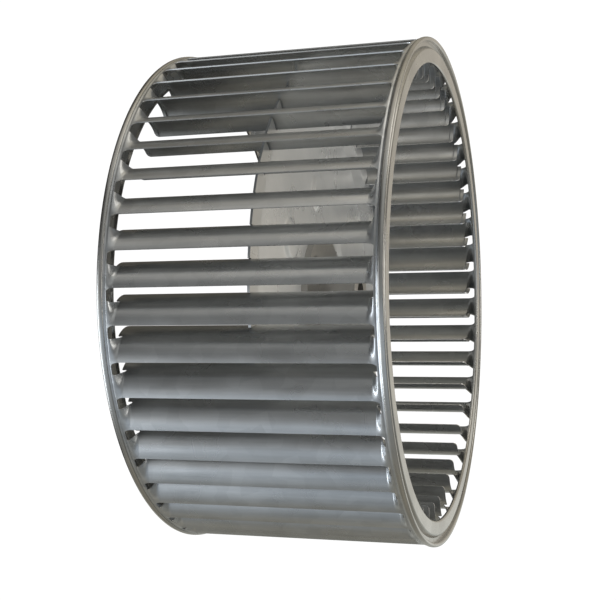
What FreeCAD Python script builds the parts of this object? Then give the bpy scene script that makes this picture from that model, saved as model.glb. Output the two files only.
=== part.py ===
import FreeCAD, Part
import math
import os

# Double-inlet blower wheel: forward-curved blades lanced from one strip, crimped end rings,
# a dished centre disc and a flanged hub. Millimetres, wheel axis along +Y, origin at mid-width.

# Whole wheel
WHEEL_DIAMETER = 266.7
WHEEL_WIDTH = 134.9

# Blade strip: the plain bands, how a blade is set and curved, and the necks that carry it
STRIP_THICKNESS = 0.6
BAND_WIDTH = 4.4
BLADE_COUNT = 48
FIRST_BLADE_ANGLE = 1.87
BLADE_CHORD = 23.6
BLADE_SET_ANGLE = 60.2
BLADE_BULGE = 5.0
NECK_LENGTH = 2.6
NECK_WIDTH = 13.5
NECK_ROOT_WIDTH = 12.5
NECK_FLARE = 1.3
NECK_FOLDS = 2

# End rings: a bead that grips the strip's edge, a groove, a flat face and an inward flange
RING_THICKNESS = 0.8
RING_LIP_LENGTH = 4.0
RING_GROOVE_DEPTH = 2.0
RING_GROOVE_WIDTH = 3.8
RING_FACE_DROP = 0.5
RING_OPENING_DIAMETER = 240.0
RING_FLANGE_DEPTH = 1.6

# Centre disc: a flat rim notched for the blades, then a step down to the dished web
DISC_THICKNESS = 1.2
DISC_RIM_OFFSET = 2.0
DISC_RIM_WIDTH = 3.0
DISC_DISH_DEPTH = 4.0
DISC_DISH_RUN = 7.0
DISC_RIM_BEYOND_TIPS = 8.0
DISC_NOTCH_WIDTH = 1.7

# Hub and its set screw
SHAFT_DIAMETER = 12.7
HUB_LENGTH = 44.45
HUB_DIAMETER = 25.4
HUB_FLANGE_DIAMETER = 65.0
HUB_FLANGE_THICKNESS = 3.5
SET_SCREW_DIAMETER = 7.94
SET_SCREW_LENGTH = 8.0
SET_SCREW_INSET = 7.0
SET_SCREW_SOCKET = 4.0
SET_SCREW_SOCKET_DEPTH = 4.0
SET_SCREW_CHAMFER = 0.7

# Clearances
SHAFT_CLEARANCE = 0.015
STRIP_CLEARANCE = 0.05
STRIP_END_GAP = 0.3
NOTCH_CLEARANCE = 0.15
HUB_SEAT_CLEARANCE = 0.05
SCREW_CLEARANCE = 0.04
SCREW_TIP_CLEARANCE = 0.3

# Places that several pieces share
ORIGIN = FreeCAD.Vector(0, 0, 0)
WHEEL_AXIS = FreeCAD.Vector(0, 1, 0)
RING_RADIUS = WHEEL_DIAMETER / 2
HALF_WIDTH = WHEEL_WIDTH / 2
STRIP_RADIUS = RING_RADIUS - RING_THICKNESS - STRIP_CLEARANCE - STRIP_THICKNESS / 2
STRIP_EDGE = HALF_WIDTH - RING_THICKNESS - STRIP_END_GAP
BAND_EDGE = STRIP_EDGE - BAND_WIDTH
PANEL_EDGE = BAND_EDGE - NECK_LENGTH

# The blade's arc, in the plane across the axis: x outwards, z along the rim
SET_ANGLE = math.radians(BLADE_SET_ANGLE)
ARC_RADIUS = (BLADE_CHORD ** 2 / 4 + BLADE_BULGE ** 2) / (2 * BLADE_BULGE)
ARC_HALF_ANGLE = math.asin(BLADE_CHORD / 2 / ARC_RADIUS)
BLADE_LENGTH = 2 * ARC_RADIUS * ARC_HALF_ANGLE
ARC_CENTRE_X = STRIP_RADIUS - ARC_RADIUS * math.cos(ARC_HALF_ANGLE - SET_ANGLE)
ARC_CENTRE_Z = ARC_RADIUS * math.sin(ARC_HALF_ANGLE - SET_ANGLE)


def arc_point(run):
    """Middle of the sheet on the blade's arc, at a developed distance from its outer edge."""
    angle = SET_ANGLE - ARC_HALF_ANGLE + run / ARC_RADIUS
    return (ARC_CENTRE_X + ARC_RADIUS * math.cos(angle), ARC_CENTRE_Z + ARC_RADIUS * math.sin(angle))


def band_point(run):
    """Middle of the sheet on the plain band, straight outwards from the blade's point at that distance."""
    x, z = arc_point(run)
    angle = math.atan2(z, x)
    return (STRIP_RADIUS * math.cos(angle), STRIP_RADIUS * math.sin(angle))


BLADE_TIP = arc_point(BLADE_LENGTH)
BLADE_TIP_RADIUS = math.hypot(BLADE_TIP[0], BLADE_TIP[1])
DISC_RADIUS = BLADE_TIP_RADIUS + DISC_RIM_BEYOND_TIPS
DISC_WEB_OFFSET = DISC_RIM_OFFSET - DISC_DISH_DEPTH
WEB_FRONT = DISC_WEB_OFFSET + DISC_THICKNESS / 2
BORE_RADIUS = SHAFT_DIAMETER / 2 + SHAFT_CLEARANCE
HUB_RADIUS = HUB_DIAMETER / 2
SET_SCREW_PLACE = HUB_LENGTH / 2 - SET_SCREW_INSET


def around_axis(shape, degrees):
    """A copy turned about the wheel's axis; a positive turn carries +X towards +Z."""
    turned = shape.copy()
    turned.rotate(ORIGIN, WHEEL_AXIS, -degrees)
    return turned


def round_the_rim(shape):
    """A copy of the shape at every blade's place."""
    pitch = 360.0 / BLADE_COUNT
    return [around_axis(shape, FIRST_BLADE_ANGLE + index * pitch) for index in range(BLADE_COUNT)]


def sheet_corners(place, share, runs):
    """Corners round a bent sheet: along its outer face at the developed distances, back along its inner face.

    The share runs from 0, where the sheet still lies in the band, to 1, where it lies in the blade's arc.
    """
    def middle(run):
        on_band = band_point(run)
        on_arc = arc_point(run)
        return [on_band[i] + share * (on_arc[i] - on_band[i]) for i in range(2)]

    def offset(run, side):
        step = 0.01
        before = middle(run - step)
        after = middle(run + step)
        reach = side * STRIP_THICKNESS / 2 / math.dist(before, after)
        x, z = middle(run)
        return FreeCAD.Vector(x + reach * (after[1] - before[1]), place, z - reach * (after[0] - before[0]))

    return [offset(run, 1) for run in runs] + [offset(run, -1) for run in reversed(runs)]


def blade_panel():
    """The blade between its necks: the arc section drawn out along the axis."""
    corners = sheet_corners(-PANEL_EDGE, 1.0, (0.0, BLADE_LENGTH / 2, BLADE_LENGTH))
    outline = Part.Wire([
        Part.Arc(*corners[:3]).toShape(),
        Part.LineSegment(corners[2], corners[3]).toShape(),
        Part.Arc(*corners[3:]).toShape(),
        Part.LineSegment(corners[5], corners[0]).toShape(),
    ])
    return Part.Face(outline).extrude(FreeCAD.Vector(0, 2 * PANEL_EDGE, 0))


def folded_block(first, second):
    """Solid between two flat outlines with as many corners each, its sides folded in flat triangles."""
    faces = [Part.Face(Part.makePolygon(outline + [outline[0]])) for outline in (first, second)]
    for index in range(len(first)):
        after = (index + 1) % len(first)
        for triangle in (
            [first[index], first[after], second[after]],
            [first[index], second[after], second[index]],
        ):
            faces.append(Part.Face(Part.makePolygon(triangle + [triangle[0]])))
    return Part.makeSolid(Part.makeShell(faces))


def blade_neck(side):
    """The drawn-in neck from the band's edge to the panel, flared where it leaves the band."""
    shares = [index / NECK_FOLDS for index in range(NECK_FOLDS + 1)]
    at_band = [share * NECK_ROOT_WIDTH - (1 - share) * NECK_FLARE for share in shares]
    at_panel = [share * NECK_WIDTH for share in shares]
    return folded_block(
        sheet_corners(side * BAND_EDGE, 0.0, at_band),
        sheet_corners(side * PANEL_EDGE, 1.0, at_panel),
    )


def edge_band(side):
    """The plain band that carries the blades' necks and runs into the end ring's bead."""
    start = BAND_EDGE if side > 0 else -STRIP_EDGE
    place = FreeCAD.Vector(0, start, 0)
    outer = Part.makeCylinder(STRIP_RADIUS + STRIP_THICKNESS / 2, BAND_WIDTH, place, WHEEL_AXIS)
    inner = Part.makeCylinder(STRIP_RADIUS - STRIP_THICKNESS / 2, BAND_WIDTH, place, WHEEL_AXIS)
    return outer.cut(inner)


def blade_strip():
    """The whole strip, rolled into a hoop: two bands joined by the lanced and twisted blades."""
    blade = blade_panel().fuse([blade_neck(1), blade_neck(-1)])
    strip = edge_band(1).multiFuse([edge_band(-1)] + round_the_rim(blade))
    return strip.removeSplitter().Solids[0]


def pressed_sheet(points, thickness):
    """Sheet of even thickness turned about the wheel's axis, from the (radius, place) corners of its middle."""
    last = len(points) - 1

    def side(shift):
        """The corners shifted sideways, each on the line that halves its bend."""
        shifted = []
        for index, (radius, place) in enumerate(points):
            before = points[max(index - 1, 0)]
            after = points[min(index + 1, last)]
            ways = []
            for start, end in ((before, (radius, place)), ((radius, place), after)):
                length = math.dist(start, end)
                if length > 0:
                    ways.append(((start[1] - end[1]) / length, (end[0] - start[0]) / length))
            first, second = ways[0], ways[-1]
            reach = shift / (1 + first[0] * second[0] + first[1] * second[1])
            shifted.append((radius + reach * (first[0] + second[0]), place + reach * (first[1] + second[1])))
        return shifted

    outline = side(thickness / 2) + side(-thickness / 2)[::-1]
    corners = [FreeCAD.Vector(radius, place, 0) for radius, place in outline]
    return Part.Face(Part.makePolygon(corners + [corners[0]])).revolve(ORIGIN, WHEEL_AXIS, 360)


def end_ring():
    """The pressed ring at the +Y end; its bead folds over the strip's edge."""
    half = RING_THICKNESS / 2
    lip_radius = RING_RADIUS - half
    grip_radius = STRIP_RADIUS - STRIP_THICKNESS / 2 - STRIP_CLEARANCE - half
    flange_radius = RING_OPENING_DIAMETER / 2 + half
    crown = HALF_WIDTH - half
    face = crown - RING_FACE_DROP
    points = [
        (lip_radius, HALF_WIDTH - RING_LIP_LENGTH),
        (lip_radius, crown),
        (grip_radius, crown),
        (grip_radius, crown - RING_GROOVE_DEPTH),
        (grip_radius - RING_GROOVE_WIDTH, face),
        (flange_radius, face),
        (flange_radius, face + half - RING_FLANGE_DEPTH),
    ]
    return pressed_sheet(points, RING_THICKNESS)


def centre_disc():
    """The dished disc: a flat rim notched for the blades, a sloping step and a flat web."""
    dish_start = BLADE_TIP_RADIUS - DISC_RIM_WIDTH
    points = [
        (HUB_RADIUS + HUB_SEAT_CLEARANCE, DISC_WEB_OFFSET),
        (dish_start - DISC_DISH_RUN, DISC_WEB_OFFSET),
        (dish_start, DISC_RIM_OFFSET),
        (DISC_RADIUS, DISC_RIM_OFFSET),
    ]
    disc = pressed_sheet(points, DISC_THICKNESS)

    notch = Part.makeBox(
        2 * DISC_RIM_BEYOND_TIPS,
        2 * DISC_THICKNESS,
        DISC_NOTCH_WIDTH,
        FreeCAD.Vector(-NOTCH_CLEARANCE, DISC_RIM_OFFSET - DISC_THICKNESS, -DISC_NOTCH_WIDTH / 2),
    )
    on_rim = arc_point(BLADE_LENGTH - DISC_RIM_BEYOND_TIPS)
    slant = math.degrees(math.atan2(on_rim[1] - BLADE_TIP[1], on_rim[0] - BLADE_TIP[0]))
    notch = around_axis(notch, slant)
    notch.translate(FreeCAD.Vector(BLADE_TIP[0], 0, BLADE_TIP[1]))
    return disc.cut(round_the_rim(notch))


def hub():
    """Turned hub: barrel and flange in one, bored for the shaft and tapped for the set screw."""
    half = HUB_LENGTH / 2
    flange_radius = HUB_FLANGE_DIAMETER / 2
    flange_front = WEB_FRONT + HUB_FLANGE_THICKNESS
    outline = [
        (BORE_RADIUS, -half),
        (HUB_RADIUS, -half),
        (HUB_RADIUS, WEB_FRONT),
        (flange_radius, WEB_FRONT),
        (flange_radius, flange_front),
        (HUB_RADIUS, flange_front),
        (HUB_RADIUS, half),
        (BORE_RADIUS, half),
    ]
    corners = [FreeCAD.Vector(radius, place, 0) for radius, place in outline]
    turned = Part.Face(Part.makePolygon(corners + [corners[0]])).revolve(ORIGIN, WHEEL_AXIS, 360)
    tapped = Part.makeCylinder(
        SET_SCREW_DIAMETER / 2 + SCREW_CLEARANCE,
        HUB_DIAMETER,
        FreeCAD.Vector(0, SET_SCREW_PLACE, 0),
        FreeCAD.Vector(0, 0, 1),
    )
    return turned.cut(tapped)


def set_screw():
    """Headless screw in the barrel, its socket outwards and its tip just short of the bore."""
    radius = SET_SCREW_DIAMETER / 2
    tip = BORE_RADIUS + SCREW_TIP_CLEARANCE
    top = tip + SET_SCREW_LENGTH
    outline = [
        (0, tip),
        (radius - SET_SCREW_CHAMFER, tip),
        (radius, tip + SET_SCREW_CHAMFER),
        (radius, top),
        (0, top),
    ]
    up = FreeCAD.Vector(0, 0, 1)
    corners = [FreeCAD.Vector(across, 0, height) for across, height in outline]
    screw = Part.Face(Part.makePolygon(corners + [corners[0]])).revolve(ORIGIN, up, 360)

    corner_radius = SET_SCREW_SOCKET / math.sqrt(3)
    floor = top - SET_SCREW_SOCKET_DEPTH
    hexagon = []
    for index in range(6):
        angle = math.radians(60 * index)
        hexagon.append(FreeCAD.Vector(corner_radius * math.cos(angle), corner_radius * math.sin(angle), floor))
    socket = Part.Face(Part.makePolygon(hexagon + [hexagon[0]])).extrude(up * (SET_SCREW_SOCKET_DEPTH + 1))
    screw = screw.cut(socket)
    screw.translate(FreeCAD.Vector(0, SET_SCREW_PLACE, 0))
    return screw


def build():
    right_ring = end_ring()
    left_ring = right_ring.mirror(ORIGIN, WHEEL_AXIS)
    pieces = {
        "blade_strip": blade_strip(),
        "end_ring_right": right_ring,
        "end_ring_left": left_ring,
        "centre_disc": centre_disc(),
        "hub": hub(),
        "set_screw": set_screw(),
    }
    os.makedirs("parts", exist_ok=True)
    for name, shape in pieces.items():
        shape.exportStep(os.path.join("parts", name + ".step"))
        box = shape.BoundBox
        print(name, len(shape.Solids), shape.isValid(), round(shape.Volume, 1), box)


build()
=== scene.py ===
import math
import bpy
import numpy as np
from mathutils import Euler, Matrix, Vector


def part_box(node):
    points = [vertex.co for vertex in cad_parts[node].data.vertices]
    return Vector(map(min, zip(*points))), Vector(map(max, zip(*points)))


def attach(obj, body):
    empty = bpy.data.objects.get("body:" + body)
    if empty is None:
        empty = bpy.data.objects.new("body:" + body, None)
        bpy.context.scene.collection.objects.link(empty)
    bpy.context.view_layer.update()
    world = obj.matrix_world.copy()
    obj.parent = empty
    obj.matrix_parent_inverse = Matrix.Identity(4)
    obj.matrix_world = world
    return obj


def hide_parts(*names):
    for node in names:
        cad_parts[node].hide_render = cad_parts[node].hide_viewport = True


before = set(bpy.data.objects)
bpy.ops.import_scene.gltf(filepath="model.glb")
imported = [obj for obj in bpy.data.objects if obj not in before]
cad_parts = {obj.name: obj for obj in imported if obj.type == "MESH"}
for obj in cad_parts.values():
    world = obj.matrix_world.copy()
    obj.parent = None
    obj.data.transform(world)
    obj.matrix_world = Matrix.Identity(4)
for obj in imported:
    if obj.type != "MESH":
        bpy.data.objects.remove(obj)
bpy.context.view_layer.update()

# Blade strip
# One strip of galvanised sheet, rolled into a hoop. The blades are lanced and drawn inwards out of
# it, and stay joined to a plain band at each edge by a short neck with rounded roots. The ring's
# bead leaves a shallow crimp line in each band.
strip_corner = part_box("blade_strip")[1]
strip_thickness = 0.0006
strip_radius = strip_corner.z - strip_thickness / 2
strip_edge = strip_corner.y
band_width = 0.0034
band_edge = strip_edge - band_width
neck_length = 0.0036
neck_width = 0.0128
neck_root_flare = 0.0016
panel_edge = band_edge - neck_length
inner_panel_edge = panel_edge + 0.0022
bead_edge = 0.0646
crimp_depth = 0.0004
blade_count = 48
first_blade = math.radians(1.87)
blade_start_tilt = math.radians(14.27)
blade_arc_radius = 0.01642
blade_length = 0.02633
blade_corner_radius = 0.0022
lancing_step = 0.00002


def blade_place(run, across):
    """The blade's middle surface: an arc that leaves the strip at its start tilt and curls inwards.

    The arc's angle is the start tilt plus the run over the arc's radius. x is the strip's radius
    plus the arc's radius times the cosine's change since the tilt, z is the arc's radius times the
    sine's change, and y is the place across the wheel.
    """
    angle = blade_start_tilt + run / blade_arc_radius
    x = strip_radius + blade_arc_radius * (np.cos(angle) - math.cos(blade_start_tilt))
    z = blade_arc_radius * (np.sin(angle) - math.sin(blade_start_tilt))
    return np.stack([x, np.broadcast_to(across, x.shape), z], axis=-1)


def necked_place(run, across):
    """The same surface, pushed straight outwards to the strip's radius as it nears the band.

    The push eases from none at the panel's end to all of it at the band, as a half cosine wave.
    """
    points = blade_place(run, across)
    rise = np.clip((np.abs(across) - panel_edge) / neck_length, 0, 1)
    share = 0.5 - 0.5 * np.cos(np.pi * rise)
    reach = np.hypot(points[..., 0], points[..., 2])
    stretch = 1 + share * (strip_radius / reach - 1)
    return points * np.stack([stretch, np.ones_like(stretch), stretch], axis=-1)


def closed_sheet(place, run, across, thickness):
    """Points, faces and finishes of a sheet of even thickness, closed along its four cut edges.

    Each point moves half the thickness both ways along the cross product of the surface's slopes
    across the wheel and along the run. The two skins have finish 0 and the cut edges finish 1.
    """
    slope_step = 0.00002
    along_run = place(run + slope_step, across) - place(run - slope_step, across)
    inwards = np.where(across > 0, -slope_step, slope_step)
    along_width = (place(run, across + inwards) - place(run, across)) * np.sign(inwards)[..., None]
    normal = np.cross(along_width, along_run)
    normal /= np.linalg.norm(normal, axis=-1, keepdims=True)
    middle = place(run, across)
    offset = normal * thickness / 2
    points = np.concatenate([middle + offset, middle - offset]).reshape(-1, 3)
    index = np.arange(run.size).reshape(run.shape)
    front = np.stack([index[:-1, :-1], index[:-1, 1:], index[1:, 1:], index[1:, :-1]], axis=-1)
    front = front.reshape(-1, 4)
    back = front[:, ::-1] + run.size
    rim = np.concatenate([index[0, :-1], index[:-1, -1], index[-1, :0:-1], index[:0:-1, 0]])
    after = np.roll(rim, -1)
    cut = np.stack([after, rim, rim + run.size, after + run.size], axis=-1)
    finishes = np.repeat([0, 1], [len(front) + len(back), len(cut)])
    return points, np.concatenate([front, back, cut]), finishes


def eased(share):
    """Quarter of an ellipse: 1 at share 0 with a steep start, easing to 0 at share 1."""
    return 1 - np.sqrt(np.clip(1 - (1 - share) ** 2, 0, 1))


def necked_blade():
    """Panel and both necks as one grid of rows across the wheel, each with points along its run.

    A neck's rows lie closer together towards the band, as a quarter cosine wave. Each row runs from
    the blade's start to the neck's width, and at the band it flares at both ends by a quarter of an
    ellipse. At the lancing step the run jumps from the neck's width to the blade's whole length.
    """
    turn = np.linspace(0, math.pi / 2, 9)
    neck_rows = band_edge - neck_length * (1 - np.cos(turn))
    panel_rows = panel_edge - lancing_step - np.array([0.0, 0.0002, 0.0005, 0.0010])
    half_rows = np.concatenate([neck_rows, panel_rows])
    rows = np.concatenate([half_rows, [0.0], -half_rows[::-1]])
    flare = neck_root_flare * eased(np.clip((band_edge - np.abs(rows)) / neck_length, 0, 1))
    on_panel = np.abs(rows) < panel_edge - lancing_step / 2
    end = np.where(on_panel, blade_length, neck_width + flare)
    share = np.linspace(0, 1, 22)
    run = -flare[:, None] + share * (end + flare)[:, None]
    across = np.broadcast_to(rows[:, None], run.shape)
    return closed_sheet(necked_place, run, across, strip_thickness)


def panel_end(side):
    """The stretch of panel beside one neck, with its free corner rounded by a quarter circle.

    It overlaps the panel a little, keeps a slit from the neck, and is a shade thinner than the
    panel so that no two faces coincide.
    """
    overlap = 0.0009
    slit = 0.0008
    fall = np.linspace(0, 1, 7)
    corner = blade_corner_radius * (1 - np.sqrt(1 - fall ** 2))
    corner_rows = inner_panel_edge - blade_corner_radius + blade_corner_radius * fall
    rows = np.concatenate([[panel_edge - overlap], corner_rows])
    far = blade_length - np.concatenate([[0.0], corner])
    near = neck_width + slit
    share = np.linspace(0, 1, 12)
    run = near + share * (far - near)[:, None]
    across = side * np.broadcast_to(rows[:, None], run.shape)
    return closed_sheet(blade_place, run, across, strip_thickness * 0.98)


def turned_round(points, faces, finishes, count, first):
    """The same shell repeated round the wheel's axis, where a positive turn carries +X to +Z.

    x becomes x times the turn's cosine less z times its sine, and z becomes x times the sine plus z
    times the cosine.
    """
    turns = first + np.arange(count) * 2 * math.pi / count
    x = np.outer(np.cos(turns), points[:, 0]) - np.outer(np.sin(turns), points[:, 2])
    z = np.outer(np.sin(turns), points[:, 0]) + np.outer(np.cos(turns), points[:, 2])
    y = np.broadcast_to(points[:, 1], x.shape)
    all_points = np.stack([x, y, z], axis=-1).reshape(-1, 3)
    all_faces = faces + np.arange(count)[:, None, None] * len(points)
    return all_points, all_faces.reshape(-1, 4), np.tile(finishes, count)


def bent_outline(corners, bends, thickness):
    """Closed outline of bent sheet, as points of (radius, place).

    Each inner corner of the middle line becomes an arc: its centre lies square to the way in, at
    the bend's radius, and its points are spun about that centre by even shares of the corner's
    turn. The outline runs half the thickness to the line's left, and comes back on its right.
    """
    corners = np.array(corners, dtype=float)
    middle = [corners[:1]]
    ways = [corners[1:2] - corners[:1]]
    for index, bend in enumerate(bends, 1):
        way_in, way_out = np.diff(corners[index - 1:index + 2], axis=0)
        way_in /= np.linalg.norm(way_in)
        way_out /= np.linalg.norm(way_out)
        turn = math.atan2(way_in[0] * way_out[1] - way_in[1] * way_out[0], way_in @ way_out)
        reach = bend * math.tan(abs(turn) / 2)
        left = np.array([-way_in[1], way_in[0]]) * math.copysign(1, turn)
        centre = corners[index] - way_in * reach + left * bend
        spin = np.linspace(0, turn, 7)
        spins = np.array([[np.cos(spin), -np.sin(spin)], [np.sin(spin), np.cos(spin)]])
        spins = spins.transpose(2, 0, 1)
        middle.append(centre - spins @ left * bend)
        ways.append(spins @ way_in)
    middle = np.concatenate([*middle, corners[-1:]])
    ways = np.concatenate([*ways, corners[-1:] - corners[-2:-1]])
    ways /= np.linalg.norm(ways, axis=-1, keepdims=True)
    sideways = np.stack([-ways[:, 1], ways[:, 0]], axis=-1) * thickness / 2
    return np.concatenate([middle + sideways, (middle - sideways)[::-1]])


def grid_shell(x, y, z, ends_meet=True):
    """Points, faces and finishes of a grid that closes round the turn, and along its outline too.

    With ends_meet false the outline's last point isn't joined to its first.
    """
    points = np.stack(np.broadcast_arrays(x, y, z), axis=-1).reshape(-1, 3)
    index = np.arange(x.size).reshape(x.shape)
    beside = np.roll(index, -1, axis=1)
    faces = [index, beside, np.roll(beside, -1, axis=0), np.roll(index, -1, axis=0)]
    faces = np.stack(faces, axis=-1)
    if not ends_meet:
        faces = faces[:, :-1]
    faces = faces.reshape(-1, 4)
    return points, faces, np.zeros(len(faces), int)


def revolved(outline, segments):
    """A closed outline of (radius, place) carried round the wheel's axis.

    x is the radius times the turn's cosine, z is the radius times its sine, and y is the place.
    """
    turns = np.arange(segments) * 2 * math.pi / segments
    radius, place = outline.T
    return grid_shell(np.outer(np.cos(turns), radius), place, np.outer(np.sin(turns), radius))


def piece_from(name, shells, materials, smooth_angle):
    """One object from several shells, with normals outwards and smooth shading up to an angle."""
    points = np.concatenate([shell[0] for shell in shells])
    starts = np.cumsum([0] + [len(shell[0]) for shell in shells[:-1]])
    faces = np.concatenate([shell[1] + start for shell, start in zip(shells, starts)])
    finishes = np.concatenate([shell[2] for shell in shells])
    mesh = bpy.data.meshes.new(name)
    mesh.from_pydata(points.tolist(), [], faces.tolist())
    for material in materials:
        mesh.materials.append(material)
    mesh.polygons.foreach_set("material_index", finishes)
    mesh.update()
    piece = bpy.data.objects.new(name, mesh)
    bpy.context.scene.collection.objects.link(piece)
    bpy.ops.object.select_all(action="DESELECT")
    piece.select_set(True)
    bpy.context.view_layer.objects.active = piece
    bpy.ops.object.mode_set(mode="EDIT")
    bpy.ops.mesh.select_all(action="SELECT")
    bpy.ops.mesh.normals_make_consistent(inside=False)
    bpy.ops.object.mode_set(mode="OBJECT")
    bpy.ops.object.shade_smooth_by_angle(angle=math.radians(smooth_angle))
    return piece


def new_finish(name, constants):
    """A new material and its shader, with the constants set on the shader's own sockets."""
    material = bpy.data.materials.new(name)
    material.use_nodes = True
    shader = material.node_tree.nodes["Principled BSDF"]
    for socket, value in constants.items():
        shader.inputs[socket].default_value = value
    return material, shader


def add_node(tree, kind, sockets, **settings):
    """One more node: a socket is given a value of its own, or the output that it is linked to."""
    node = tree.nodes.new(kind)
    for setting, value in settings.items():
        setattr(node, setting, value)
    for socket, value in sockets.items():
        if isinstance(value, bpy.types.NodeSocket):
            tree.links.new(value, node.inputs[socket])
        else:
            node.inputs[socket].default_value = value
    return node


def add_ramp(tree, source, stops):
    """Colour output of a ramp through the given (place, colour) stops."""
    ramp = add_node(tree, "ShaderNodeValToRGB", {"Fac": source})
    elements = ramp.color_ramp.elements
    while len(elements) < len(stops):
        elements.new(0.5)
    for element, (place, colour) in zip(elements, stops):
        element.position = place
        element.color = (*colour, 1)
    return ramp.outputs["Color"]


def galvanised(name, colour, shade, metallic, roughness, spangle_size, spangle_share, streaking):
    """Zinc-coated sheet: faint crystal spangle, rolling streaks and a mottled, half-dull sheen.

    The colour runs from shade to colour with the streaks' height plus a share of each crystal's
    own tone. The roughness varies with a coarser mottle, and the streaks also make a slight relief.
    """
    material, shader = new_finish(name, {"Metallic": metallic})
    tree = material.node_tree
    object_place = add_node(tree, "ShaderNodeTexCoord", {}).outputs["Object"]
    spangle = add_node(tree, "ShaderNodeTexVoronoi", {
        "Vector": object_place, "Scale": 1 / spangle_size, "Randomness": 1.0,
    })
    crystal = add_node(tree, "ShaderNodeSeparateColor", {"Color": spangle.outputs["Color"]})
    stretch = add_node(tree, "ShaderNodeMapping", {"Vector": object_place, "Scale": streaking})
    streaks = add_node(tree, "ShaderNodeTexNoise", {
        "Vector": stretch.outputs["Vector"], "Scale": 1.0, "Detail": 6.0, "Roughness": 0.6,
    })
    mottle = add_node(tree, "ShaderNodeTexNoise", {
        "Vector": object_place, "Scale": 34.0, "Detail": 3.0,
    })
    tone = add_node(tree, "ShaderNodeMath", {
        0: crystal.outputs["Red"], 1: spangle_share, 2: streaks.outputs["Fac"],
    }, operation="MULTIPLY_ADD")
    paint = add_ramp(tree, tone.outputs["Value"], ((0.35, shade), (0.95, colour)))
    dullness = add_node(tree, "ShaderNodeMapRange", {
        "Value": mottle.outputs["Fac"],
        "From Min": 0.3, "From Max": 0.7,
        "To Min": roughness - 0.07, "To Max": roughness + 0.09,
    })
    relief = add_node(tree, "ShaderNodeBump", {
        "Height": streaks.outputs["Fac"], "Strength": 0.18, "Distance": 0.0004,
    })
    tree.links.new(paint, shader.inputs["Base Color"])
    tree.links.new(dullness.outputs["Result"], shader.inputs["Roughness"])
    tree.links.new(relief.outputs["Normal"], shader.inputs["Normal"])
    return material


blade_zinc = galvanised(
    "blade_zinc",
    colour=(0.70, 0.71, 0.71),
    shade=(0.42, 0.43, 0.435),
    metallic=0.8,
    roughness=0.29,
    spangle_size=0.007,
    spangle_share=0.10,
    streaking=(160.0, 6.0, 160.0),
)
# The cut edges are lighter. Partly this is the bare steel a cut leaves, and partly it is a painted
# highlight for the sheet's edges catching the light.
cut_edge_and_highlight = galvanised(
    "cut_edge_and_highlight",
    colour=(0.86, 0.86, 0.84),
    shade=(0.70, 0.70, 0.69),
    metallic=0.8,
    roughness=0.26,
    spangle_size=0.007,
    spangle_share=0.05,
    streaking=(160.0, 6.0, 160.0),
)
band_outline = bent_outline(
    [
        (strip_radius, band_edge),
        (strip_radius, band_edge + 0.0002),
        (strip_radius - crimp_depth, (band_edge + bead_edge) / 2),
        (strip_radius, bead_edge + 0.0001),
        (strip_radius, strip_edge),
    ],
    bends=[0.0002, 0.0005, 0.0004],
    thickness=strip_thickness,
)
blade_shells = [
    turned_round(*shell, blade_count, first_blade)
    for shell in (necked_blade(), panel_end(1), panel_end(-1))
]
band_shells = [revolved(band_outline * [1, side], segments=192) for side in (1, -1)]
blade_strip = piece_from(
    "lanced_blade_strip", blade_shells + band_shells, [blade_zinc, cut_edge_and_highlight], smooth_angle=40
)
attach(blade_strip, "root")
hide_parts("blade_strip")

# End rings
# Two pressed rings of slightly thicker galvanised sheet. A bead folds over each edge of the strip
# and is rolled tight on it; then come a groove, a flat face and a flange turned in at the opening.
ring_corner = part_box("end_ring_right")[1]
ring_radius = ring_corner.z
half_width = ring_corner.y
ring_thickness = 0.0008
ring_inner_radius = strip_corner.z + 0.00005
ring_bead_start = ring_radius - 0.0006
ring_bead_half_width = 0.0014
ring_grip_radius = 0.1314
ring_groove_depth = 0.0024
ring_groove_width = 0.0030
ring_groove_slope = 0.0012
ring_face_drop = 0.0005
ring_opening_radius = 0.1200
ring_flange_depth = 0.0016
ring_bend = 0.0006


def ring_profile():
    """Closed outline of a ring: the bent face, then half an ellipse as the bead on the strip.

    The bead's radius rises with the sine of its turn, and its place goes with the cosine.
    """
    crown_place = half_width - ring_thickness / 2
    groove_place = crown_place - ring_groove_depth
    face_place = crown_place - ring_face_drop
    groove_foot = ring_grip_radius - ring_groove_width
    flange_radius = ring_opening_radius + ring_thickness / 2
    face = bent_outline(
        [
            (ring_inner_radius, crown_place),
            (ring_grip_radius, crown_place),
            (ring_grip_radius, groove_place),
            (groove_foot, groove_place),
            (groove_foot - ring_groove_slope, face_place),
            (flange_radius, face_place),
            (flange_radius, face_place + ring_thickness / 2 - ring_flange_depth),
        ],
        bends=[ring_bend] * 5,
        thickness=ring_thickness,
    )
    turn = np.linspace(0, math.pi, 13)
    bead = np.stack([
        ring_bead_start + (ring_radius - ring_bead_start) * np.sin(turn),
        half_width - ring_bead_half_width + ring_bead_half_width * np.cos(turn),
    ], axis=-1)
    lip_edge = [[ring_inner_radius, half_width - 2 * ring_bead_half_width]]
    return np.concatenate([face, bead, lip_edge])


ring_zinc = galvanised(
    "ring_zinc",
    colour=(0.57, 0.56, 0.53),
    shade=(0.44, 0.435, 0.42),
    metallic=0.95,
    roughness=0.24,
    spangle_size=0.006,
    spangle_share=0.10,
    streaking=(40.0, 40.0, 40.0),
)
ring_outline = ring_profile()
for name, node, side in (
    ("crimped_ring_right", "end_ring_right", 1),
    ("crimped_ring_left", "end_ring_left", -1),
):
    ring_shell = revolved(ring_outline * [1, side], segments=320)
    ring = piece_from(name, [ring_shell], [ring_zinc], smooth_angle=45)
    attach(ring, "root")
    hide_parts(node)

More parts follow.
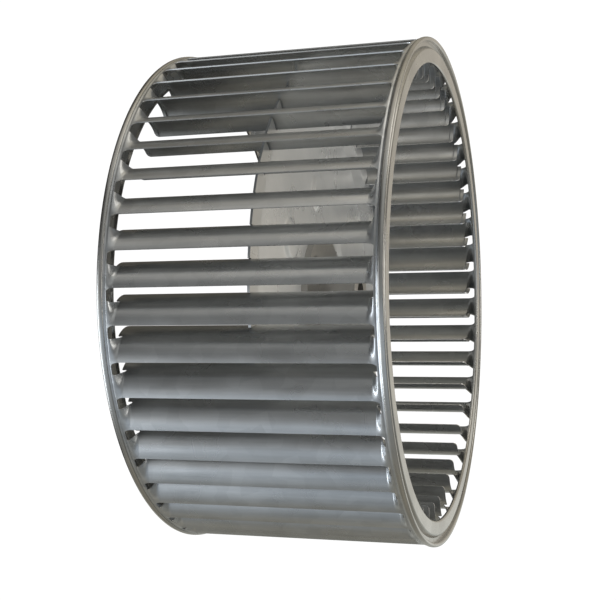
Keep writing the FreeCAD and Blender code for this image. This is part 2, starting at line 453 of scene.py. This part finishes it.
# Centre disc
# A pressed disc at mid-width that carries the hub. Its flat rim is notched for the blades' inner
# edges, a sloping step drops to the dished web, and round bosses pressed in the web stiffen it.
disc_thickness = 0.0012
disc_rim_place = 0.0020
disc_web_place = -0.0020
disc_rim_radius = 0.1204
disc_step_top = 0.1094
disc_step_foot = disc_step_top - 0.0070
disc_bore_radius = 0.01275
disc_bend = 0.0025
blade_tip_radius = 0.1124
notch_middle = first_blade + math.radians(5.75)
notch_half_width = math.radians(0.40)
notch_depth_share = 0.98
boss_count = 6
boss_circle_radius = 0.056
boss_radius = 0.0115
boss_height = 0.0015
boss_slope = 0.0028


def disc_outline():
    """Closed outline of the disc as points of (radius, place): web, step and rim, out and back."""
    step_start = disc_step_foot - 0.006
    upper_step, lower_step = np.split(bent_outline(
        [
            (step_start, disc_web_place),
            (disc_step_foot, disc_web_place),
            (disc_step_top, disc_rim_place),
            (blade_tip_radius, disc_rim_place),
        ],
        bends=[disc_bend, disc_bend],
        thickness=disc_thickness,
    ), 2)
    web_radius = np.linspace(disc_bore_radius, step_start - 0.001, 76)
    web = np.stack([web_radius, np.full_like(web_radius, disc_web_place)], axis=-1)
    rim_radius = np.array([blade_tip_radius + 0.0003, 0.117, disc_rim_radius])
    rim = np.stack([rim_radius, np.full_like(rim_radius, disc_rim_place)], axis=-1)
    raised = [0, disc_thickness / 2]
    upper = [web + raised, upper_step, rim + raised]
    lower = [(rim - raised)[::-1], lower_step, (web - raised)[::-1]]
    return np.concatenate(upper + lower)


def disc_shell():
    """The disc's outline carried round the axis, with notches in the rim and bosses on the web.

    In a notch nearly all of the radius beyond the blades' tips is taken off. A boss adds its height
    times a smooth step: three times the square of the rise less twice its cube, where the rise is
    how far a point lies inside the boss's edge, over the width of its slope.
    """
    outline_radius, outline_place = disc_outline().T
    pitch = 2 * math.pi / blade_count
    notch_steps = np.array([-1.0, -0.999, 0.0, 0.999, 1.0]) * notch_half_width
    rim_steps = np.linspace(notch_half_width, pitch - notch_half_width, 7)[1:-1]
    steps = np.concatenate([notch_steps, rim_steps])
    turns = (notch_middle + np.arange(blade_count)[:, None] * pitch + steps).reshape(-1, 1)
    in_notch = np.tile(np.abs(steps) < notch_half_width, blade_count)[:, None]

    beyond_tips = np.clip(outline_radius - blade_tip_radius, 0, None)
    radius = outline_radius - beyond_tips * notch_depth_share * in_notch
    x = radius * np.cos(turns)
    z = radius * np.sin(turns)
    y = np.broadcast_to(outline_place, x.shape).copy()
    for boss in range(boss_count):
        angle = (boss + 0.5) * 2 * math.pi / boss_count
        boss_x = boss_circle_radius * math.cos(angle)
        boss_z = boss_circle_radius * math.sin(angle)
        away = np.hypot(x - boss_x, z - boss_z)
        rise = np.clip((boss_radius - away) / boss_slope, 0, 1)
        y += boss_height * rise * rise * (3 - 2 * rise)
    return grid_shell(x, y, z)


disc_zinc = galvanised(
    "disc_zinc",
    colour=(0.86, 0.855, 0.84),
    shade=(0.72, 0.725, 0.72),
    metallic=0.65,
    roughness=0.30,
    spangle_size=0.012,
    spangle_share=0.05,
    streaking=(30.0, 30.0, 30.0),
)
centre_disc = piece_from("dished_centre_disc", [disc_shell()], [disc_zinc], smooth_angle=30)
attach(centre_disc, "root")
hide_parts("centre_disc")

# Hub and its rivets
# The hub is turned from bar and zinc plated: a barrel, bored for the shaft, and a round flange that
# lies on the disc's web. Four rivets with low round heads go through flange and disc.
rivet_count = 4
rivet_circle_radius = 0.0235
rivet_head_radius = 0.0042
rivet_head_height = 0.0020
rivet_sink = 0.0001
flange_front = 0.0021
web_back = -0.0026


def rivet_shell(place, way):
    """A head as a low dome: the radius goes with a slope's sine and the height with its cosine.

    The foot is sunk a hair into the metal, and the outline keeps a fiftieth of the head's radius
    off its middle.
    """
    top_slope = 0.02
    slope = np.linspace(top_slope, math.pi / 2, 9)
    radius = rivet_head_radius * np.concatenate([np.sin(slope), [top_slope]])
    height = np.concatenate([rivet_head_height * np.cos(slope), [-rivet_sink]])
    outline = np.stack([radius, place + way * height], axis=-1)
    points, faces, finishes = revolved(outline, segments=28)
    return points + [rivet_circle_radius, 0, 0], faces, finishes


def turned_steel(name, colour, roughness):
    """Turned steel: fine rings of tool marks about the wheel's axis and a thin, uneven plating."""
    material, shader = new_finish(name, {"Metallic": 0.95, "Roughness": roughness})
    tree = material.node_tree
    object_place = add_node(tree, "ShaderNodeTexCoord", {}).outputs["Object"]
    marks = add_node(tree, "ShaderNodeTexWave", {
        "Vector": object_place, "Scale": 260.0, "Distortion": 1.2,
    }, bands_direction="Y")
    plating = add_node(tree, "ShaderNodeTexNoise", {"Vector": object_place, "Scale": 120.0})
    thin_plating = [part * 0.78 for part in colour]
    paint = add_ramp(tree, plating.outputs["Fac"], ((0.0, thin_plating), (1.0, colour)))
    relief = add_node(tree, "ShaderNodeBump", {
        "Height": marks.outputs["Fac"], "Strength": 0.15, "Distance": 0.0001,
    })
    tree.links.new(paint, shader.inputs["Base Color"])
    tree.links.new(relief.outputs["Normal"], shader.inputs["Normal"])
    return material


hub_plating = turned_steel("hub_plating", colour=(0.60, 0.58, 0.55), roughness=0.32)
rivet_shells = [
    turned_round(*rivet_shell(place, way), rivet_count, math.radians(45))
    for place, way in ((flange_front, 1), (web_back, -1))
]
hub_rivets = piece_from("hub_rivets", rivet_shells, [hub_plating], smooth_angle=50)
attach(hub_rivets, "root")
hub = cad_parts["hub"]
hub.data.materials.clear()
hub.data.materials.append(hub_plating)

# Set screw
# A headless screw of blackened steel with a hexagon socket. It is driven through the barrel on to
# the shaft, and holds the wheel there.
black_oxide = turned_steel("screw_black_oxide", colour=(0.06, 0.06, 0.065), roughness=0.42)
set_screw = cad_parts["set_screw"]
set_screw.data.materials.clear()
set_screw.data.materials.append(black_oxide)

# Floor and backdrop
# A white studio bowl: a flat floor under the wheel that curls up into a round wall and closes
# overhead. It only shows behind the wheel, and neither lights nor shades it.
floor_level = -0.1337
floor_radius = 1.6
curl_radius = 1.0
pole_radius = 0.001


def bowl_shell():
    """The bowl's outline turned about the upright axis.

    The outline is the floor out to its radius, a quarter circle up to the wall, and over that a
    quarter of an ellipse, as high as the curl and as wide as the wall, back to the axis.
    """
    wall_radius = floor_radius + curl_radius
    bend = np.linspace(0, math.pi / 2, 17)
    top_bend = bend[1:-1]
    radius = np.concatenate([
        [pole_radius],
        floor_radius + curl_radius * np.sin(bend),
        wall_radius * np.cos(top_bend),
        [pole_radius],
    ])
    height = curl_radius * np.concatenate([[0], 1 - np.cos(bend), 1 + np.sin(top_bend), [2]])
    turns = np.arange(64) * 2 * math.pi / 64
    x = np.outer(np.cos(turns), radius)
    y = np.outer(np.sin(turns), radius)
    return grid_shell(x, y, floor_level + height, ends_meet=False)


white_paper, _ = new_finish("white_paper", {
    "Base Color": (0.0, 0.0, 0.0, 1),
    "Specular IOR Level": 0.0,
    "Emission Color": (1.0, 1.0, 1.0, 1),
    "Emission Strength": 1.05,
})
backdrop = piece_from("white_bowl", [bowl_shell()], [white_paper], smooth_angle=60)
backdrop.visible_diffuse = False
backdrop.visible_glossy = False
backdrop.visible_shadow = False

# Room light
# Bright sheet shows what it mirrors, so most of the light is a dim room: palest and bluish a little
# below the horizon, nearly black above on the left side, and warm on the side behind the wheel.
# In a ramp, place 0 is straight down or left along the axis, and 1 is straight up or right.
room_tones = (
    (0.0, (0.38, 0.385, 0.37)),
    (0.09, (0.27, 0.287, 0.295)),
    (0.20, (0.50, 0.545, 0.59)),
    (0.38, (0.58, 0.66, 0.75)),
    (0.50, (0.33, 0.333, 0.332)),
    (0.62, (0.30, 0.30, 0.29)),
    (1.0, (0.64, 0.645, 0.63)),
)
left_tones = (
    (0.0, (0.37, 0.375, 0.36)),
    (0.09, (0.27, 0.287, 0.295)),
    (0.20, (0.56, 0.605, 0.64)),
    (0.38, (0.69, 0.765, 0.845)),
    (0.50, (0.335, 0.343, 0.35)),
    (0.60, (0.08, 0.08, 0.078)),
    (1.0, (0.05, 0.05, 0.05)),
)
axis_strengths = (
    (0.05, 0.5), (0.225, 1.05), (0.29, 1.05), (0.325, 0.74),
    (0.36, 0.74), (0.41, 1.0), (0.72, 1.0), (0.88, 0.45),
)
far_tint = (0.96, 0.875, 0.73, 1)
# A Mix node's sockets for colours, by number because its sockets for numbers have the same names.
mix_first, mix_second, mix_result = 6, 7, 2


def graded_room():
    """World whose light depends on its direction only.

    The height picks a tone from each of two ramps, and a smooth step along the axis blends the left
    side's into the room's. The far side is multiplied by its tint, and the strength is a third ramp
    along the axis.
    """
    room = bpy.data.worlds.new("graded_room")
    room.use_nodes = True
    tree = room.node_tree
    background = tree.nodes["Background"]
    direction = add_node(tree, "ShaderNodeTexCoord", {}).outputs["Generated"]
    split = add_node(tree, "ShaderNodeSeparateXYZ", {"Vector": direction})
    height = add_node(tree, "ShaderNodeMapRange", {
        "Value": split.outputs["Z"], "From Min": -1.0,
    }).outputs["Result"]
    along_axis = add_node(tree, "ShaderNodeMapRange", {
        "Value": split.outputs["Y"], "From Min": -1.0,
    }).outputs["Result"]
    from_left = add_node(tree, "ShaderNodeMapRange", {
        "Value": split.outputs["Y"], "From Min": -0.55, "From Max": -0.05,
    }, interpolation_type="SMOOTHSTEP").outputs["Result"]
    to_far_side = add_node(tree, "ShaderNodeMapRange", {
        "Value": split.outputs["X"], "From Min": 0.55, "From Max": 0.05,
    }).outputs["Result"]
    blended = add_node(tree, "ShaderNodeMix", {
        "Factor": from_left,
        mix_first: add_ramp(tree, height, left_tones),
        mix_second: add_ramp(tree, height, room_tones),
    }, data_type="RGBA").outputs[mix_result]
    tinted = add_node(tree, "ShaderNodeMix", {
        "Factor": to_far_side, mix_first: blended, mix_second: far_tint,
    }, data_type="RGBA", blend_type="MULTIPLY").outputs[mix_result]
    strengths = [(place, (strength,) * 3) for place, strength in axis_strengths]
    tree.links.new(tinted, background.inputs["Color"])
    tree.links.new(add_ramp(tree, along_axis, strengths), background.inputs["Strength"])
    return room


bpy.context.scene.world = graded_room()
bpy.context.scene.view_settings.view_transform = "Standard"

# Soft boxes
# Fabric-fronted lamps round the wheel that face it and aren't seen by the camera. The one for the
# inside isn't mirrored, because its image would glare on the disc. The one low on the left is only
# mirrored, along the lower blades.


def soft_box(name, place, size, brightness, colour, mirrored=True, spread=True):
    """A rectangular lamp that faces the wheel; its power is brightness times pi times its area.

    mirrored is whether glossy metal mirrors it, and spread is whether it lights dull surfaces.
    """
    lamp = bpy.data.lights.new(name, "AREA")
    lamp.shape = "RECTANGLE"
    lamp.size, lamp.size_y = size
    lamp.energy = brightness * math.pi * size[0] * size[1]
    lamp.color = colour
    holder = bpy.data.objects.new(name, lamp)
    holder.location = place
    holder.rotation_euler = (-Vector(place)).to_track_quat("-Z", "Y").to_euler()
    holder.visible_camera = False
    holder.visible_glossy = mirrored
    holder.visible_diffuse = spread
    bpy.context.scene.collection.objects.link(holder)


end_lamp_place = (0.25, 1.25, 0.10)
end_lamp_size = (0.5, 0.5)
daylight = (0.95, 0.98, 1.0)
blue_daylight = (0.84, 0.91, 1.0)
neutral_white = (1.0, 0.98, 0.94)
warm_white = (1.0, 0.97, 0.92)
amber_white = (1.0, 0.94, 0.86)
soft_box("soft_box_left", (1.20, -0.85, -0.15), (0.55, 1.0), 0.60, daylight)
soft_box("soft_box_front", (0.35, -0.40, 1.20), (0.6, 1.2), 0.35, warm_white)
soft_box("soft_box_beyond", (-1.10, 0.60, 0.05), (1.0, 1.0), 0.31, amber_white)
soft_box("soft_box_overhead", (0.25, 0.75, 1.15), (0.8, 0.8), 1.2, warm_white)
soft_box("soft_box_end", end_lamp_place, end_lamp_size, 3.0, neutral_white)
soft_box("soft_box_inside", end_lamp_place, end_lamp_size, 9.0, neutral_white, mirrored=False)
soft_box("soft_box_low_left", (0.70, -1.20, -0.35), (0.45, 1.0), 5.0, blue_daylight, spread=False)

# Shade card
# A painted shadow: a sheet of black card on the floor beside the wheel's left end, mostly on its
# far side, standing in for the wheel's shadow there. The camera doesn't see it and it throws no
# shadow;
# it only darkens what the upper blades mirror.
card_x = (-0.45, 0.13)
card_y = (-0.60, -0.12)
card_heights = (0.001, 0.003)


def card_shell():
    """A thin box: four corners at the lower height and the same at the upper, with six faces."""
    corners = [(card_x[i], card_y[j]) for i, j in ((0, 0), (1, 0), (1, 1), (0, 1))]
    points = np.array([[x, y, floor_level + z] for z in card_heights for x, y in corners])
    faces = [[0, 3, 2, 1], [4, 5, 6, 7], [0, 1, 5, 4], [1, 2, 6, 5], [2, 3, 7, 6], [3, 0, 4, 7]]
    return points, np.array(faces), np.zeros(len(faces), int)


painted_shadow_black, _ = new_finish("painted_shadow_black", {"Base Color": (0.02, 0.02, 0.02, 1), "Roughness": 0.9})
painted_shadow_card = piece_from("painted_shadow_card", [card_shell()], [painted_shadow_black], smooth_angle=35)
painted_shadow_card.visible_camera = False
painted_shadow_card.visible_shadow = False

# Camera
# A long lens level with the wheel's axis. It looks at the rim, with the right end turned a little
# towards it, and leans by less than a degree each way to place and level the wheel in the frame.
view_turn = 1.8645
camera_back = Vector((math.sin(view_turn), -math.cos(view_turn), 0.0))
camera_place = camera_back * 4.7 * ring_radius
camera_lean = Euler((0.0051, -0.0121, 0.0160)).to_matrix().inverted()
camera_facing = camera_back.to_track_quat("Z", "Y").to_matrix()
lens = bpy.data.cameras.new("camera")
lens.lens = 66.45
lens.sensor_width = 36.0
lens.clip_start = 0.01
camera = bpy.data.objects.new("camera", lens)
camera.matrix_world = Matrix.Translation(camera_place) @ (camera_facing @ camera_lean).to_4x4()
bpy.context.scene.collection.objects.link(camera)
bpy.context.scene.camera = camera
